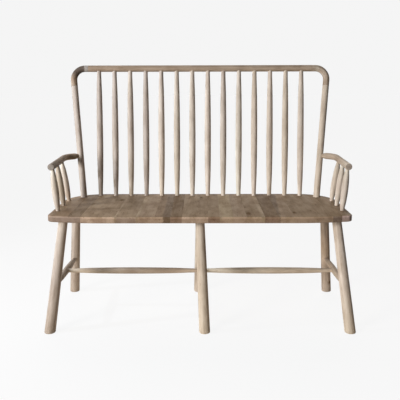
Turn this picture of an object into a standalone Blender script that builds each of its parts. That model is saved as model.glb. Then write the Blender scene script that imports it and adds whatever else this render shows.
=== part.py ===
"""Spindle-back hall bench with arms, in limed oak.

A seat panel of edge-glued staves stands on six splayed legs that stretchers brace.
A bow of two posts, two bent corners and a top rail holds a row of turned spindles.
An arm on three short spindles runs forward from each post.

Units are metres and +Z is up. Left and right are as seen from the front, which
faces -Y. Sizes are laid out from the middle of the seat's front edge, and an empty
then moves the bench so that the origin lies on the floor under its middle.
"""

import math

import bmesh
import bpy
from mathutils import Matrix, Vector

# Clearance round every tenon and between pieces that touch
GAP = 0.0003

# Seat panel
SEAT_WIDTH = 1.122
SEAT_DEPTH = 0.450
SEAT_HEIGHT = 0.450
SEAT_THICKNESS = 0.024
SEAT_ARRIS = 0.004
FRONT_SWEEP_LENGTH = 0.200
FRONT_SWEEP_RADIUS = 0.750
FRONT_CORNER_RADIUS = 0.025
REAR_CORNER_RADIUS = 0.150

# Staves from left to right: share of the seat's width, and tone from dark (0) to light (1)
STAVES = (
    (80, 0.60), (47, 0.45), (125, 0.75), (77, 0.40), (68, 0.55), (57, 0.50),
    (42, 0.10), (63, 0.85), (33, 0.70), (42, 0.15), (50, 0.80), (48, 0.45),
    (66, 0.55), (52, 0.15), (57, 0.50), (139, 0.60), (34, 0.05), (42, 0.35),
)

# Legs: insets are from the seat's edges to the leg's axis, splays are added at the floor
LEG_FOOT_DIAMETER = 0.0415
LEG_TOP_DIAMETER = 0.0345
LEG_COVER = 0.007
FRONT_LEG_SIDE_INSET = 0.047
FRONT_LEG_EDGE_INSET = 0.087
FRONT_LEG_SIDE_SPLAY = 0.054
FRONT_LEG_EDGE_SPLAY = 0.0745
REAR_LEG_SIDE_INSET = 0.040
REAR_LEG_LEAD = 0.031
REAR_LEG_SIDE_SPLAY = 0.049
REAR_LEG_EDGE_SPLAY = 0.115
FRONT_MIDDLE_FOOT_DRIFT = 0.018
REAR_MIDDLE_FOOT_DRIFT = -0.008

# Stretchers: heights are of the axis at the front and rear legs
STRETCHER_END_DIAMETER = 0.016
STRETCHER_BELLY_DIAMETER = 0.026
STRETCHER_BELLY_PLACE = 0.50
STRETCHER_FRONT_HEIGHT = 0.177
STRETCHER_REAR_HEIGHT = 0.168

# Bow: the posts' feet are set in from the seat's edges, and the rail is above and behind them
BOW_DIAMETER = 0.027
POST_SIDE_INSET = 0.0675
POST_REAR_INSET = 0.069
POST_SOCKET = 0.012
BACK_RISE = 0.535
BACK_LEAN = 0.124
BOW_FLARE = 0.0495
BOW_BEND_RADIUS = 0.047
BEND_POST_STUB = 0.024
BEND_RAIL_STUB = 0.014
DOWEL_DIAMETER = 0.012
DOWEL_LENGTH = 0.050

# Back spindles
SPINDLE_COUNT = 14
SPINDLE_REAR_INSET = 0.0355
SPINDLE_FAN = 0.0007
SPINDLE_END_DIAMETER = 0.0178
SPINDLE_BELLY_DIAMETER = 0.027
SPINDLE_BELLY_PLACE = 0.45
SPINDLE_SOCKET = 0.012

# Arms: each runs straight over its spindles, then bends into the post
ARM_RISE = 0.171
ARM_DIAMETER = 0.0255
ARM_TENON_DIAMETER = 0.017
ARM_ARRIS = 0.002
ARM_OVERHANG = 0.023
ARM_TOE_IN = math.radians(3)
ARM_TURN = math.radians(53)
ARM_BEND_RADIUS = 0.075
ARM_ENTRY_RUN = 0.030

# Arm spindles
ARM_SPINDLE_COUNT = 3
ARM_SPINDLE_SIDE_INSET = 0.0225
ARM_SPINDLE_FRONT_INSET = 0.107
ARM_SPINDLE_POST_SPACING = 0.085
ARM_SPINDLE_RAKE = 0.006
ARM_SPINDLE_END_DIAMETER = 0.0145
ARM_SPINDLE_BELLY_DIAMETER = 0.026
ARM_SPINDLE_BELLY_PLACE = 0.50
ARM_SPINDLE_SOCKET = 0.011

# A tenon in a round piece stops this far short of that piece's axis
TENON_STOP = 0.003

# How squarely spindles and stretchers fill out: 1 is a plain sine wave, less is fuller
SWELL_POWER = 0.8

# Facets
LEG_SIDES = 16
BOW_SIDES = 16
ARM_SIDES = 12
SPINDLE_SIDES = 12
DOWEL_SIDES = 12
SWELL_RINGS = 6
BEND_STEPS = 8
SWEEP_STEPS = 3
FRONT_CORNER_STEPS = 4
REAR_CORNER_STEPS = 8
ARRIS_STEPS = 2
SHARP_ANGLE = math.radians(40)
MERGE = 0.00001

# Colours, as linear red, green and blue
PALE_OAK = (0.56, 0.47, 0.36)
RAIL_OAK = (0.40, 0.29, 0.19)
DARK_STAVE = (0.22, 0.16, 0.11)
LIGHT_STAVE = (0.40, 0.32, 0.24)
BEECH = (0.62, 0.45, 0.28)
OAK_ROUGHNESS = 0.62

HALF_WIDTH = SEAT_WIDTH / 2
UNDERSIDE = SEAT_HEIGHT - SEAT_THICKNESS
RAIL_HEIGHT = SEAT_HEIGHT + BACK_RISE
ARM_HEIGHT = SEAT_HEIGHT + ARM_RISE
POST_X = HALF_WIDTH - POST_SIDE_INSET
POST_Y = SEAT_DEPTH - POST_REAR_INSET
RAIL_Y = POST_Y + BACK_LEAN
BOW_RADIUS = BOW_DIAMETER / 2
ARM_RADIUS = ARM_DIAMETER / 2
SIDES = {"left": -1, "right": 1}
UP = Vector((0, 0, 1))


class Axis:
    """A straight line between two points, measured in metres from the first."""

    def __init__(self, start, end):
        self.start = Vector(start)
        self.length = (Vector(end) - self.start).length
        self.direction = (Vector(end) - self.start).normalized()

    def at(self, distance):
        return self.start + self.direction * distance

    def at_height(self, height):
        return self.at((height - self.start.z) / self.direction.z)

    def slope(self):
        """The sine of the angle between this line and the vertical."""
        return self.direction.cross(UP).length


def new_collection(name):
    collection = bpy.data.collections.new(name)
    bpy.context.scene.collection.children.link(collection)
    return collection


for old in list(bpy.data.objects):
    bpy.data.objects.remove(old, do_unlink=True)
PARTS = new_collection("hall_bench")
CUTTERS = new_collection("hall_bench_cutters")
BENCH = bpy.data.objects.new("bench", None)
PARTS.objects.link(BENCH)


def add_object(name, data, collection):
    """A new object that follows the bench. One among the cutters only shapes other pieces."""
    obj = bpy.data.objects.new(name, data)
    collection.objects.link(obj)
    obj.parent = BENCH
    obj.rotation_mode = "QUATERNION"
    if collection is CUTTERS:
        obj.hide_render = True
        obj.display_type = "WIRE"
    return obj


def aim(obj, axis):
    """Stands the object's own Z on the axis, with its origin at the axis' start."""
    obj.location = axis.start
    obj.rotation_quaternion = axis.direction.to_track_quat("Z", "Y")


def finish(obj, colour):
    """Gives the object a material of its own, in plain wood."""
    material = bpy.data.materials.new(obj.name)
    material.use_nodes = True
    shader = material.node_tree.nodes["Principled BSDF"]
    shader.inputs["Base Color"].default_value = (*colour, 1)
    shader.inputs["Roughness"].default_value = OAK_ROUGHNESS
    shader.inputs["Metallic"].default_value = 0
    obj.data.materials.append(material)
    return obj


def mesh_from(name, build):
    """A smooth-shaded mesh from a function that fills a bmesh."""
    mesh = bpy.data.meshes.new(name)
    shape = bmesh.new()
    build(shape)
    shape.to_mesh(mesh)
    shape.free()
    mesh.shade_smooth()
    mesh.set_sharp_from_angle(angle=SHARP_ANGLE)
    return mesh


def cylinder(name, axis, first, last, radius, sides, collection=PARTS):
    """A round bar on the axis, from the distance first to the distance last.

    A quarter turn sets its first corner on its own X, as on a turned piece.
    """
    place = Matrix.Translation(UP * (first + last) / 2) @ Matrix.Rotation(-math.pi / 2, 4, "Z")

    def build(shape):
        bmesh.ops.create_cone(
            shape,
            cap_ends=True,
            segments=sides,
            radius1=radius,
            radius2=radius,
            depth=last - first,
            matrix=place,
        )

    obj = add_object(name, mesh_from(name, build), collection)
    aim(obj, axis)
    return obj


def turned(name, axis, profile, sides):
    """A turned piece on the axis. The profile lists (distance, radius) from start to end."""
    outline = [(0, profile[-1][0])]
    outline += [(radius, distance) for distance, radius in reversed(profile)]
    outline += [(0, profile[0][0])]
    mesh = bpy.data.meshes.new(name)
    points = [(radius, 0, distance) for radius, distance in outline]
    mesh.from_pydata(points, [(i, i + 1) for i in range(len(points) - 1)], [])
    obj = add_object(name, mesh, PARTS)
    aim(obj, axis)
    turn = obj.modifiers.new("Turn", "SCREW")
    turn.steps = sides
    turn.render_steps = sides
    turn.use_merge_vertices = True
    turn.merge_threshold = MERGE
    return obj


def swell(first, last, end_diameter, belly_diameter, belly_place):
    """The profile of a piece that is thin at both ends and fullest at belly_place."""
    profile = []
    for ring in range(SWELL_RINGS + 1):
        share = ring / SWELL_RINGS
        if share < belly_place:
            quarter = share / belly_place
        else:
            quarter = (1 - share) / (1 - belly_place)
        fullness = math.sin(quarter * math.pi / 2) ** SWELL_POWER
        diameter = end_diameter + (belly_diameter - end_diameter) * fullness
        profile.append((first + (last - first) * share, diameter / 2))
    return profile


def cut(obj, cutter, operation="DIFFERENCE"):
    boolean = obj.modifiers.new(cutter.name, "BOOLEAN")
    boolean.operation = operation
    boolean.object = cutter


def bore(pieces, name, axis, first, last, radius, sides):
    """Bores the pieces for a tenon of this radius, with GAP left round its flats."""
    hole = radius + GAP / math.cos(math.pi / sides)
    cutter = cylinder(f"{name}_bore", axis, first, last, hole, sides, CUTTERS)
    for piece in pieces:
        cut(piece, cutter)


def solid_from_curve(name, curve, collection):
    """A closed mesh object from a curve, which is then removed."""
    source = bpy.data.objects.new(name, curve)
    bpy.context.scene.collection.objects.link(source)
    graph = bpy.context.evaluated_depsgraph_get()
    mesh = bpy.data.meshes.new_from_object(source.evaluated_get(graph))
    bpy.data.objects.remove(source)
    shape = bmesh.new()
    shape.from_mesh(mesh)
    bmesh.ops.remove_doubles(shape, verts=shape.verts, dist=MERGE)
    bmesh.ops.recalc_face_normals(shape, faces=shape.faces)
    shape.to_mesh(mesh)
    shape.free()
    mesh.shade_smooth()
    mesh.set_sharp_from_angle(angle=SHARP_ANGLE)
    mesh.name = name
    return add_object(name, mesh, collection)


def tube(name, points, radii, sides):
    """A round bar that follows the points, with a radius at each."""
    curve = bpy.data.curves.new(name, "CURVE")
    curve.dimensions = "3D"
    curve.bevel_depth = 1
    curve.bevel_resolution = sides // 2 - 2
    curve.use_fill_caps = True
    spline = curve.splines.new("POLY")
    spline.points.add(len(points) - 1)
    for place, point, radius in zip(spline.points, points, radii):
        place.co = (*point, 1)
        place.radius = radius
    return solid_from_curve(name, curve, PARTS)


def arc(centre, radius, first, last, steps):
    """Points in the XY plane on an arc between two angles, both ends included."""
    angles = [first + (last - first) * step / steps for step in range(steps + 1)]
    return [(centre[0] + radius * math.cos(a), centre[1] + radius * math.sin(a)) for a in angles]


def seat_outline():
    """The seat's plan: a front edge that sweeps back at its ends, and round corners."""
    quarter = math.pi / 2
    sweep_start = HALF_WIDTH - FRONT_SWEEP_LENGTH
    inner_radius = FRONT_SWEEP_RADIUS - FRONT_CORNER_RADIUS
    turn = math.asin((FRONT_SWEEP_LENGTH - FRONT_CORNER_RADIUS) / inner_radius)
    sweep_centre = (sweep_start, FRONT_SWEEP_RADIUS)
    corner_centre = (
        sweep_centre[0] + inner_radius * math.sin(turn),
        sweep_centre[1] - inner_radius * math.cos(turn),
    )
    rear_centre = (HALF_WIDTH - REAR_CORNER_RADIUS, SEAT_DEPTH - REAR_CORNER_RADIUS)
    right = arc(sweep_centre, FRONT_SWEEP_RADIUS, -quarter, turn - quarter, SWEEP_STEPS)
    right += arc(corner_centre, FRONT_CORNER_RADIUS, turn - quarter, 0, FRONT_CORNER_STEPS)[1:]
    right += arc(rear_centre, REAR_CORNER_RADIUS, 0, quarter, REAR_CORNER_STEPS)
    return right + [(-x, y) for x, y in reversed(right)]


def seat_blank():
    """The whole seat as one panel with rounded arrises, which the staves are cut to."""
    outline = seat_outline()
    curve = bpy.data.curves.new("seat_blank", "CURVE")
    curve.dimensions = "2D"
    curve.fill_mode = "BOTH"
    curve.extrude = SEAT_THICKNESS / 2
    spline = curve.splines.new("POLY")
    spline.points.add(len(outline) - 1)
    for place, point in zip(spline.points, outline):
        place.co = (*point, 0, 1)
    spline.use_cyclic_u = True
    blank = solid_from_curve("seat_blank", curve, CUTTERS)
    blank.location.z = SEAT_HEIGHT - SEAT_THICKNESS / 2
    arris = blank.modifiers.new("Arris", "BEVEL")
    arris.width = SEAT_ARRIS
    arris.segments = ARRIS_STEPS
    arris.limit_method = "ANGLE"
    arris.angle_limit = SHARP_ANGLE
    return blank


def stave_edges():
    """The glue lines and both sides of the seat, which the staves share out between them."""
    whole = sum(share for share, _ in STAVES)
    edges = [-HALF_WIDTH]
    for share, _ in STAVES:
        edges.append(edges[-1] + SEAT_WIDTH * share / whole)
    return edges


def make_seat():
    """The staves, cut from the seat's blank, as a list of (left, right, object)."""
    blank = seat_blank()
    edges = stave_edges()
    staves = []
    for number, (left, right) in enumerate(zip(edges, edges[1:])):
        name = f"seat_stave_{number + 1:02d}"
        size = Vector((right - left - GAP, 2 * SEAT_DEPTH, 2 * SEAT_THICKNESS))
        mesh = mesh_from(name, lambda shape: bmesh.ops.create_cube(shape, size=1))
        for vertex in mesh.vertices:
            vertex.co *= size
        stave = add_object(name, mesh, PARTS)
        stave.location = ((left + right) / 2, SEAT_DEPTH / 2, SEAT_HEIGHT - SEAT_THICKNESS / 2)
        cut(stave, blank, "INTERSECT")
        tone = STAVES[number][1]
        finish(stave, Vector(DARK_STAVE).lerp(Vector(LIGHT_STAVE), tone))
        staves.append((left, right, stave))
    return staves


def bore_seat(staves, name, axis, first, last, radius, sides):
    """Bores the staves that a tenon in the seat reaches."""
    ends = (axis.at(first).x, axis.at(last).x)
    reach = 2 * radius
    touched = [
        stave
        for left, right, stave in staves
        if left < max(ends) + reach and right > min(ends) - reach
    ]
    bore(touched, name, axis, first, last, radius, sides)


def leg_axis(row, place):
    """A leg's axis, from the floor to the seat's underside."""
    side = SIDES.get(place, 0)
    if row == "front":
        top_y = FRONT_LEG_EDGE_INSET
        foot_y = top_y - FRONT_LEG_EDGE_SPLAY
        inset, splay, drift = FRONT_LEG_SIDE_INSET, FRONT_LEG_SIDE_SPLAY, FRONT_MIDDLE_FOOT_DRIFT
    else:
        top_y = POST_Y - REAR_LEG_LEAD
        foot_y = top_y + REAR_LEG_EDGE_SPLAY
        inset, splay, drift = REAR_LEG_SIDE_INSET, REAR_LEG_SIDE_SPLAY, REAR_MIDDLE_FOOT_DRIFT
    top_x = side * (HALF_WIDTH - inset)
    foot_x = top_x + side * splay if side else drift
    return Axis((foot_x, foot_y, 0), (top_x, top_y, UNDERSIDE))


def make_floor_cutter():
    """A block below the floor that trims the feet level."""
    size = Vector((2 * SEAT_WIDTH, 2 * SEAT_WIDTH, SEAT_HEIGHT))
    mesh = mesh_from("floor_trim", lambda shape: bmesh.ops.create_cube(shape, size=1))
    for vertex in mesh.vertices:
        vertex.co *= size
    trim = add_object("floor_trim", mesh, CUTTERS)
    trim.location = (0, SEAT_DEPTH / 2, -SEAT_HEIGHT / 2)
    return trim


def make_legs(staves):
    """Six legs, which taper upwards into blind sockets in the seat."""
    floor_trim = make_floor_cutter()
    foot, top = LEG_FOOT_DIAMETER / 2, LEG_TOP_DIAMETER / 2
    legs = {}
    for row in ("front", "rear"):
        for place in ("left", "middle", "right"):
            name = f"{row}_{place}_leg"
            axis = leg_axis(row, place)
            tip_height = SEAT_HEIGHT - LEG_COVER - top * axis.slope()
            tip = tip_height / axis.direction.z
            profile = [(-foot, foot), (0, foot), (axis.length, top), (tip, top)]
            leg = finish(turned(name, axis, profile, LEG_SIDES), PALE_OAK)
            cut(leg, floor_trim)
            bore_seat(staves, name, axis, axis.length - top, tip + GAP, top, LEG_SIDES)
            legs[row, place] = (leg, axis)
    return legs


def stretcher(name, start, end, start_radius, end_radius):
    """A stretcher between the axes of two round pieces that have these radii there."""
    axis = Axis(start, end)
    tip = axis.length - TENON_STOP
    end_diameter = STRETCHER_END_DIAMETER
    profile = [(TENON_STOP, end_diameter / 2)]
    profile += swell(
        start_radius,
        axis.length - end_radius,
        end_diameter,
        STRETCHER_BELLY_DIAMETER,
        STRETCHER_BELLY_PLACE,
    )
    profile.append((tip, end_diameter / 2))
    return finish(turned(name, axis, profile, SPINDLE_SIDES), PALE_OAK), axis


def bore_for_stretcher(name, axis, start_piece, end_piece):
    """Bores the pieces at both ends of a stretcher for its tenons."""
    radius = STRETCHER_END_DIAMETER / 2
    reach = LEG_FOOT_DIAMETER
    bore([start_piece], f"{name}_start", axis, TENON_STOP - GAP, reach, radius, SPINDLE_SIDES)
    last = axis.length - TENON_STOP + GAP
    bore([end_piece], f"{name}_end", axis, axis.length - reach, last, radius, SPINDLE_SIDES)


def leg_radius(height):
    share = height / UNDERSIDE
    return (LEG_FOOT_DIAMETER + (LEG_TOP_DIAMETER - LEG_FOOT_DIAMETER) * share) / 2


def make_stretchers(legs):
    """Three stretchers from front to rear legs, and two long ones that join their middles."""
    cross = {}
    for place in ("left", "middle", "right"):
        name = f"{place}_cross_stretcher"
        front_leg, front_axis = legs["front", place]
        rear_leg, rear_axis = legs["rear", place]
        piece, axis = stretcher(
            name,
            front_axis.at_height(STRETCHER_FRONT_HEIGHT),
            rear_axis.at_height(STRETCHER_REAR_HEIGHT),
            leg_radius(STRETCHER_FRONT_HEIGHT),
            leg_radius(STRETCHER_REAR_HEIGHT),
        )
        bore_for_stretcher(name, axis, front_leg, rear_leg)
        cross[place] = (piece, axis.at(axis.length / 2))
    belly = STRETCHER_BELLY_DIAMETER / 2
    for place in SIDES:
        name = f"{place}_long_stretcher"
        side_piece, side_middle = cross[place]
        middle_piece, middle = cross["middle"]
        _, axis = stretcher(name, side_middle, middle, belly, belly)
        bore_for_stretcher(name, axis, side_piece, middle_piece)


def post_axis(side):
    """A post's axis, from the seat's top to the point where it would meet the rail's axis."""
    corner = (side * (POST_X + BOW_FLARE), RAIL_Y, RAIL_HEIGHT)
    return Axis((side * POST_X, POST_Y, SEAT_HEIGHT), corner)


def bow_bend(side):
    """Points round a bow corner from the post's joint to the rail's, and the tangent length."""
    post = post_axis(side)
    corner = post.at(post.length)
    down = -post.direction
    inward = Vector((-side, 0, 0))
    half_angle = down.angle(inward) / 2
    tangent = BOW_BEND_RADIUS / math.tan(half_angle)
    centre = corner + (down + inward).normalized() * BOW_BEND_RADIUS / math.sin(half_angle)
    first = (corner + down * tangent - centre).normalized()
    last = (corner + inward * tangent - centre).normalized()
    points = [corner + down * (tangent + BEND_POST_STUB - GAP / 2)]
    for step in range(BEND_STEPS + 1):
        points.append(centre + first.slerp(last, step / BEND_STEPS) * BOW_BEND_RADIUS)
    points.append(corner + inward * (tangent + BEND_RAIL_STUB - GAP / 2))
    return points, tangent


def add_dowel(name, axis, joint, pieces):
    """A hidden dowel across the joint at this distance along the axis."""
    radius = DOWEL_DIAMETER / 2
    first, last = joint - DOWEL_LENGTH / 2, joint + DOWEL_LENGTH / 2
    finish(cylinder(name, axis, first, last, radius, DOWEL_SIDES), BEECH)
    bore(pieces, name, axis, first - GAP, last + GAP, radius, DOWEL_SIDES)


def make_bow(staves):
    """Two posts, two bent corners and the top rail, joined by dowels. Returns posts and rail."""
    posts = {}
    rail_axis = Axis((-POST_X - BOW_FLARE, RAIL_Y, RAIL_HEIGHT), (POST_X + BOW_FLARE, RAIL_Y, RAIL_HEIGHT))
    _, tangent = bow_bend(1)
    rail_start = tangent + BEND_RAIL_STUB
    rail_end = rail_axis.length - rail_start
    rail = cylinder(
        "top_rail", rail_axis, rail_start + GAP / 2, rail_end - GAP / 2, BOW_RADIUS, BOW_SIDES
    )
    finish(rail, RAIL_OAK)
    for place, side in SIDES.items():
        axis = post_axis(side)
        joint = axis.length - tangent - BEND_POST_STUB
        name = f"{place}_post"
        post = cylinder(name, axis, -POST_SOCKET, joint - GAP / 2, BOW_RADIUS, BOW_SIDES)
        finish(post, PALE_OAK)
        bore_seat(staves, name, axis, -POST_SOCKET - GAP, BOW_DIAMETER, BOW_RADIUS, BOW_SIDES)
        points, _ = bow_bend(side)
        corner = tube(f"{place}_bow_corner", points, [BOW_RADIUS] * len(points), BOW_SIDES)
        finish(corner, PALE_OAK)
        add_dowel(f"{place}_post_dowel", axis, joint, (post, corner))
        rail_joint = rail_start if side < 0 else rail_end
        add_dowel(f"{place}_rail_dowel", rail_axis, rail_joint, (rail, corner))
        posts[side] = (post, axis)
    return posts, rail


def make_back_spindles(staves, rail):
    """A row of spindles from the seat to the rail, spread evenly between the posts' feet."""
    foot_pitch = 2 * POST_X / (SPINDLE_COUNT + 1)
    rail_pitch = foot_pitch + SPINDLE_FAN
    foot_y = SEAT_DEPTH - SPINDLE_REAR_INSET
    end = SPINDLE_END_DIAMETER / 2
    for number in range(SPINDLE_COUNT):
        name = f"back_spindle_{number + 1:02d}"
        place = number - (SPINDLE_COUNT - 1) / 2
        foot = (place * foot_pitch, foot_y, SEAT_HEIGHT)
        axis = Axis(foot, (place * rail_pitch, RAIL_Y, RAIL_HEIGHT))
        tip = axis.length - TENON_STOP
        profile = [(-SPINDLE_SOCKET, end)]
        profile += swell(
            0,
            axis.length - BOW_RADIUS,
            SPINDLE_END_DIAMETER,
            SPINDLE_BELLY_DIAMETER,
            SPINDLE_BELLY_PLACE,
        )
        profile.append((tip, end))
        finish(turned(name, axis, profile, SPINDLE_SIDES), PALE_OAK)
        first, last = -SPINDLE_SOCKET - GAP, SPINDLE_END_DIAMETER
        bore_seat(staves, f"{name}_seat", axis, first, last, end, SPINDLE_SIDES)
        mouth = axis.length - BOW_DIAMETER
        bore([rail], f"{name}_rail", axis, mouth, tip + GAP, end, SPINDLE_SIDES)


class ArmPath:
    """An arm's level centre line: straight over the spindles, then bent into the post."""

    def __init__(self, side, post):
        self.side = side
        self.post_point = post.at_height(ARM_HEIGHT)
        self.entry = self.heading(ARM_TURN)
        self.bend_end = self.post_point - self.entry * ARM_ENTRY_RUN
        self.run = self.heading(-ARM_TOE_IN)
        self.bend_start = self.bend_point(-ARM_TOE_IN)

    def heading(self, angle):
        """The direction towards the rear, turned in towards the post by this angle."""
        return Vector((-self.side * math.sin(angle), math.cos(angle), 0))

    def bend_point(self, angle):
        """The point on the bend where the arm has this heading."""
        out = Vector((self.side, 0, 0))
        across = math.cos(angle) - math.cos(ARM_TURN)
        along = math.sin(ARM_TURN) - math.sin(angle)
        shift = out * across - Vector((0, along, 0))
        return self.bend_end + shift * ARM_BEND_RADIUS

    def run_point(self, y):
        """The point on the straight run at this distance from the seat's front edge."""
        return self.bend_start + self.run * ((y - self.bend_start.y) / self.run.y)


def make_arm(place, path, front_y):
    """An arm with a softly rounded front end, which tapers to a tenon just before the post."""
    tenon = ARM_TENON_DIAMETER / 2
    tip = path.run_point(front_y - ARM_OVERHANG)
    points = [tip, tip + path.run * ARM_ARRIS]
    for step in range(BEND_STEPS + 1):
        points.append(path.bend_point(-ARM_TOE_IN + (ARM_TURN + ARM_TOE_IN) * step / BEND_STEPS))
    radii = [ARM_RADIUS - ARM_ARRIS] + [ARM_RADIUS] * (len(points) - 1)
    points += [path.post_point - path.entry * depth for depth in (BOW_RADIUS, TENON_STOP)]
    radii += [tenon, tenon]
    arm = tube(f"{place}_arm", points, radii, ARM_SIDES)
    return finish(arm, PALE_OAK)


def make_arms(staves, posts):
    """Both arms and the short spindles that carry them."""
    end = ARM_SPINDLE_END_DIAMETER / 2
    tenon = ARM_TENON_DIAMETER / 2
    first_y = ARM_SPINDLE_FRONT_INSET
    pitch = (POST_Y - ARM_SPINDLE_POST_SPACING - first_y) / (ARM_SPINDLE_COUNT - 1)
    for place, side in SIDES.items():
        post, post_line = posts[side]
        path = ArmPath(side, post_line)
        arm = make_arm(place, path, first_y - ARM_SPINDLE_RAKE)
        entry = Axis(path.bend_end, path.post_point)
        clear_radius = (tenon + GAP) / math.cos(math.pi / ARM_SIDES)
        bore([post], f"{place}_arm", entry, 0, entry.length - TENON_STOP + GAP, clear_radius, ARM_SIDES)
        for number in range(ARM_SPINDLE_COUNT):
            name = f"{place}_arm_spindle_{number + 1}"
            y = first_y + pitch * number
            foot = (side * (HALF_WIDTH - ARM_SPINDLE_SIDE_INSET), y, SEAT_HEIGHT)
            axis = Axis(foot, path.run_point(y - ARM_SPINDLE_RAKE))
            tip = axis.length - TENON_STOP
            profile = [(-ARM_SPINDLE_SOCKET, end)]
            profile += swell(
                0,
                axis.length - ARM_RADIUS,
                ARM_SPINDLE_END_DIAMETER,
                ARM_SPINDLE_BELLY_DIAMETER,
                ARM_SPINDLE_BELLY_PLACE,
            )
            profile.append((tip, end))
            finish(turned(name, axis, profile, SPINDLE_SIDES), PALE_OAK)
            first, last = -ARM_SPINDLE_SOCKET - GAP, ARM_SPINDLE_END_DIAMETER
            bore_seat(staves, f"{name}_seat", axis, first, last, end, SPINDLE_SIDES)
            mouth = axis.length - ARM_DIAMETER
            bore([arm], f"{name}_arm", axis, mouth, tip + GAP, end, SPINDLE_SIDES)


def centre_bench():
    """Moves the bench so that the origin lies under the middle of its depth."""
    foot_axis = leg_axis("front", "right")
    tilt = foot_axis.direction
    foot_reach = LEG_FOOT_DIAMETER / 2 * math.sqrt(1 - tilt.x**2) / tilt.z
    front = foot_axis.start.y - foot_reach
    rear = RAIL_Y + BOW_RADIUS
    BENCH.location.y = -(front + rear) / 2


def main():
    staves = make_seat()
    legs = make_legs(staves)
    make_stretchers(legs)
    posts, rail = make_bow(staves)
    make_back_spindles(staves, rail)
    make_arms(staves, posts)
    centre_bench()


main()
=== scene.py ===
"""Looks of the spindle-back hall bench: fine oak pieces over its solids, pale floor, light and camera.

Units are metres in the frame of the solids: +Z is up and the front faces -Y.
"""

import math
import random

import bmesh
import bpy
import numpy as np
from mathutils import Matrix, Vector


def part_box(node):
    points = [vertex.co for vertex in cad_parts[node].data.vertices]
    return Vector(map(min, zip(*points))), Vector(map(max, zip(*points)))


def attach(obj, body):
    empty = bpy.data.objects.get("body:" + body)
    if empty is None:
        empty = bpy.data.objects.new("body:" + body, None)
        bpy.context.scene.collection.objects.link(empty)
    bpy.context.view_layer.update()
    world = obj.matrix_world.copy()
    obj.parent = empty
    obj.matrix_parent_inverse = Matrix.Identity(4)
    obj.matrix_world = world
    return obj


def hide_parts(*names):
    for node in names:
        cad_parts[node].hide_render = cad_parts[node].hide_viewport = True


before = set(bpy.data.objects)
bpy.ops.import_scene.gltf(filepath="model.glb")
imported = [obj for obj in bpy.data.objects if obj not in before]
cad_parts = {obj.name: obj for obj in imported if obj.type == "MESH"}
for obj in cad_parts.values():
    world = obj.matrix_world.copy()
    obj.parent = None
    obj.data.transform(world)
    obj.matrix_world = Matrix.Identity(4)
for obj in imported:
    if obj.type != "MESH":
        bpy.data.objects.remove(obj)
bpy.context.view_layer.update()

# Facets: sides round a piece, the spacing of the rings along it, the steps of bends, of arrises and of
# the seat's arcs, and the angle from which an edge shows as sharp
SIDES = 48
RING_STEP = 0.006
BEND_STEPS = 30
ARRIS_STEPS = 5
OUTLINE_STEPS = 24
SHARP_ANGLE = math.radians(35)
# Rings nearer an eased end than this many arrises give way to the arris
ARRIS_ROOM = 1.1

# Measuring a solid: corners that agree to this many decimals of a metre are one, a ring has at least
# this many corners, and an end lies in a slice this thick
CORNER_DECIMALS = 5
RING_CORNERS = 10
END_SLICE = 0.0005

# Seat panel, as in the solids
SEAT_ARRIS = 0.004
FRONT_SWEEP_LENGTH = 0.200
FRONT_SWEEP_RADIUS = 0.750
FRONT_CORNER_RADIUS = 0.025
REAR_CORNER_RADIUS = 0.150
STAVE_COUNT = 18
# What each point of the seat knows of its place on it
SEAT_MARKS = ("end_grain", "edge", "wear_and_highlight", "shaded_rim")

# Feet: the rounded arris, and the length over which the level cut fades into the turning
FOOT_ARRIS = 0.0035
FOOT_FADE = 0.060

# Bow: the bend of its corners, the gap at its joints and the fine arris there
BOW_BEND_RADIUS = 0.047
JOINT_GAP = 0.0003
JOINT_ARRIS = 0.0005

# Arms, as in the solids
ARM_DIAMETER = 0.0255
ARM_TENON_DIAMETER = 0.017
ARM_ARRIS = 0.002
ARM_TOE_IN = math.radians(3)
ARM_TURN = math.radians(53)
ARM_BEND_RADIUS = 0.075
ARM_ENTRY_RUN = 0.030
ARM_TENON_STOP = 0.003

SPINDLE_COUNT = 14
ARM_SPINDLE_COUNT = 3
# Which way each end of the bench lies along X
PLACES = {"left": -1, "right": 1}
UP = np.array((0.0, 0.0, 1.0))

MM_PER_METRE = 1000

# Where in a log the pieces were cut, in metres: how far from the pith, how far to either side of that
# line, how far along, and how far the grain leans for each metre of its length
FROM_PITH = (0.04, 0.11)
BESIDE_PITH = 0.02
LOG_LENGTH = 9
GRAIN_LEAN = 0.02

# Oak in millimetres, across the log twice and then along it. Rings wander slowly along the grain, and
# knots and strips have a ragged edge, both by noise of this detail that swings about this middle.
# Rays are spaced as they are this far from the pith.
RING_MM = 2.6
WANDER_MM = (45, 45, 320)
WANDER_REACH_MM = 7
RAGGED_MM = (6, 6, 9)
NOISE_DETAIL = 2
NOISE_MIDDLE = 0.5
RAY_RADIUS_MM = 70
# Spring wood is this share of a ring, and this share of the pores keeps to it
SPRING_SHARE = 0.6
PORES_IN_SPRING = 0.6
# Marks of the figure: the size of one, how broken up it is, and how much of the noise shows as a mark.
# Pores are 0.3 mm wide and 4 mm long, and ray flecks 0.2 mm thick: both are drawn three or four times
# as coarse, so that they show where a pixel is a few millimetres wide.
MARKS = {
    "blotch": {"size_mm": (34, 34, 80), "detail": 2, "from": 0.30, "to": 0.70},
    "streak": {"size_mm": (8, 8, 150), "detail": 3, "from": 0.30, "to": 0.70},
    "fleck": {"size_mm": (5, 5, 22), "detail": 2, "from": 0.62, "to": 0.74},
    "pore": {"size_mm": (0.9, 0.9, 13), "detail": 1, "from": 0.56, "to": 0.74},
    "ray": {"size_mm": (14, 0.8, 7), "detail": 1, "from": 0.60, "to": 0.72},
}
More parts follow.
